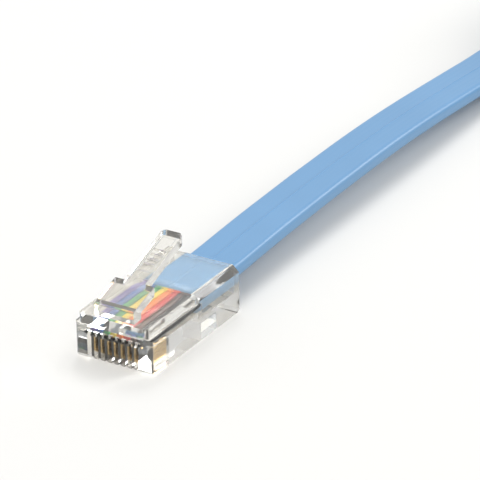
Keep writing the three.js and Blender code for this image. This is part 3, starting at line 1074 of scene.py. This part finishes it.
class ConsoleShells(bpy.types.Operator):
    """The clear moulded shell of each plug"""

    bl_idname = "console_cable.shells"
    bl_label = "Plug shells"

    def execute(self, context):
        settings = context.scene.console_plugs
        material = shared("moulded polycarbonate", moulded_polycarbonate, settings)
        for side in ("near", "far"):
            shell = shell_piece(side, settings)
            finished(shell, material, "cable", [f"{side}_shell"])
            lets_light_in(shell)
        return {"FINISHED"}


class ConsoleLatches(bpy.types.Operator):
    """The sprung latch of each plug, with cuts across its root"""

    bl_idname = "console_cable.latches"
    bl_label = "Plug latches"

    def execute(self, context):
        settings = context.scene.console_plugs
        material = shared("moulded polycarbonate", moulded_polycarbonate, settings)
        for side in ("near", "far"):
            place = plug_place(side)
            latch, ribs = latch_piece(side, settings)
            latch.data.transform(place)
            ribs.data.transform(place)
            body = f"{side}_latch_body"
            finished(latch, material, None, [f"{side}_latch"])
            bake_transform(latch)
            ribs.data.materials.clear()
            ribs.data.materials.append(material)
            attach(ribs, body)
            lets_light_in(latch)
            lets_light_in(ribs)
        return {"FINISHED"}


class ConsoleContacts(bpy.types.Operator):
    """The gold-plated blades of each plug"""

    bl_idname = "console_cable.contacts"
    bl_label = "Contacts"

    def execute(self, context):
        for side in ("near", "far"):
            row = contact_row(side)
            row.data.transform(plug_place(side))
            nodes = [f"{side}_contact_{i + 1}" for i in range(WIRE_COUNT)]
            finished(row, shared("plated gold", plated_gold), "cable", nodes)
        return {"FINISHED"}


class ConsoleWires(bpy.types.Operator):
    """The insulated wires inside each plug, in reverse order in the far one"""

    bl_idname = "console_cable.wires"
    bl_label = "Wires"

    def execute(self, context):
        for side, order in (("near", INSULATION), ("far", INSULATION[::-1])):
            for index, (name, colour) in enumerate(order):
                wire, material = wire_piece(side, index, name, colour)
                wire.data.transform(plug_place(side))
                node = f"{side}_wire_{index + 1}"
                finished(wire, material, "cable", [node])
        return {"FINISHED"}


class ConsoleStrap(bpy.types.Operator):
    """The strap round the hank's waist, lapped over itself on top"""

    bl_idname = "console_cable.strap"
    bl_label = "Strap"

    def execute(self, context):
        low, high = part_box("tie")
        strap = strap_piece(low, high)
        finished(strap, shared("woven nylon", woven_nylon), "cable", ["tie"])
        return {"FINISHED"}


class ConsolePanel(bpy.types.Panel):
    """Lists the build steps in the sidebar"""

    bl_idname = "VIEW3D_PT_console_cable"
    bl_label = "Console cable"
    bl_space_type = "VIEW_3D"
    bl_region_type = "UI"
    bl_category = "Console cable"

    def draw(self, context):
        column = self.layout.column()
        for group, name in (
            (context.scene.console_stage, "floor_colour"),
            (context.scene.console_stage, "key_power"),
            (context.scene.console_stage, "camera_distance"),
            (context.scene.console_plugs, "edge_radius"),
            (context.scene.console_plugs, "gloss"),
            (context.scene.console_cable, "colour"),
            (context.scene.console_cable, "spacing"),
        ):
            column.prop(group, name)
        for operator in OPERATORS:
            column.operator(operator.bl_idname)


# Stage


VIEW_AZIMUTH = -58.28
VIEW_ELEVATION = 25.95
VIEW_ROLL = -0.96
VIEW_TARGET = (29.0 * MM, 5.21 * MM, 0)
PIXELS_PER_M = 7310
FRAME_PIXELS = 480
FLOOR_HALF = 1.5
# The floor is a hair below the plugs: clear plastic in one plane with the paper renders dark
FLOOR_DROP = 0.04 * MM
# Each lamp's direction from the plug, distance, size, share of the key's power, and whether its
# light passes the clear pieces
LAMPS = (
    ("key", (-0.1, 0.15, 1.0), 0.8, 0.4, 1, True),
    ("back", (0.6, 0.35, 1.0), 0.8, 0.25, 0.5, False),
    ("front", (-0.3, -0.9, 0.7), 0.8, 0.4, 0.4, True),
    ("edge", (0.77, -0.44, 0.47), 0.7, 0.2, 0.6, True),
)


def view_axes():
    """The camera's back, right and up directions."""
    a, e, roll = (math.radians(v) for v in (VIEW_AZIMUTH, VIEW_ELEVATION, VIEW_ROLL))
    back = Vector((math.sin(a) * math.cos(e), -math.cos(a) * math.cos(e), math.sin(e)))
    right = Vector((math.cos(a), math.sin(a), 0))
    up = back.cross(right)
    turned_right = right * math.cos(roll) + up * math.sin(roll)
    turned_up = up * math.cos(roll) - right * math.sin(roll)
    return back, turned_right, turned_up


def make_camera(settings):
    back, right, up = view_axes()
    data = bpy.data.cameras.new("camera")
    data.sensor_width = 36
    data.lens = PIXELS_PER_M * settings.camera_distance * data.sensor_width / FRAME_PIXELS
    data.clip_start = 0.01
    camera = linked("camera", data)
    turn = Matrix((right, up, back)).transposed().to_4x4()
    place = Vector(VIEW_TARGET) + back * settings.camera_distance
    camera.matrix_world = Matrix.Translation(place) @ turn
    bpy.context.scene.camera = camera


def area_light(name, direction, distance, size, power, passes):
    """A square soft light that looks at the plug from a direction, and may pass clear pieces."""
    data = bpy.data.lights.new(name, "AREA")
    data.size = size
    data.energy = power
    light = linked(name, data)
    way = Vector(direction).normalized()
    light.location = Vector(VIEW_TARGET) + way * distance
    light.rotation_euler = way.to_track_quat("Z", "Y").to_euler()
    if passes:
        light.light_linking.blocker_collection = bpy.data.collections["clear pieces"]


def make_lights(settings):
    """The lamps and an even pale sky, shown without a film curve to keep the photo's own tones."""
    bpy.data.collections.new("clear pieces")
    for name, direction, distance, size, share, passes in LAMPS:
        area_light(name, direction, distance, size, settings.key_power * share, passes)
    world = bpy.data.worlds.new("studio")
    world.use_nodes = True
    background = world.node_tree.nodes["Background"]
    background.inputs["Color"].default_value = linear("#FAFBFC")
    background.inputs["Strength"].default_value = 0.8
    bpy.context.scene.world = world
    bpy.context.scene.view_settings.view_transform = "Standard"


def make_floor(settings):
    half, low = FLOOR_HALF, -FLOOR_DROP
    points = [(-half, -half, low), (half, -half, low), (half, half, low), (-half, half, low)]
    floor = mesh_object("floor", points, [(0, 1, 2, 3)], smooth=False)
    floor.data.materials.append(shared("studio paper", studio_paper, settings))


OPERATORS = (
    ConsoleStage, ConsoleCord, ConsoleShells, ConsoleLatches, ConsoleContacts, ConsoleWires,
    ConsoleStrap,
)
GROUPS = (
    ("console_stage", StageSettings),
    ("console_plugs", PlugSettings),
    ("console_cable", CableSettings),
)


def register():
    for name, group in GROUPS:
        bpy.utils.register_class(group)
        setattr(bpy.types.Scene, name, bpy.props.PointerProperty(type=group))
    for kind in (*OPERATORS, ConsolePanel):
        bpy.utils.register_class(kind)


def unregister():
    for kind in reversed((*OPERATORS, ConsolePanel)):
        bpy.utils.unregister_class(kind)
    for name, group in reversed(GROUPS):
        delattr(bpy.types.Scene, name)
        bpy.utils.unregister_class(group)


def main():
    register()
    bpy.ops.console_cable.stage()
    bpy.ops.console_cable.cord()
    bpy.ops.console_cable.shells()
    bpy.ops.console_cable.latches()
    bpy.ops.console_cable.contacts()
    bpy.ops.console_cable.wires()
    bpy.ops.console_cable.strap()


if __name__ == "__main__":
    main()
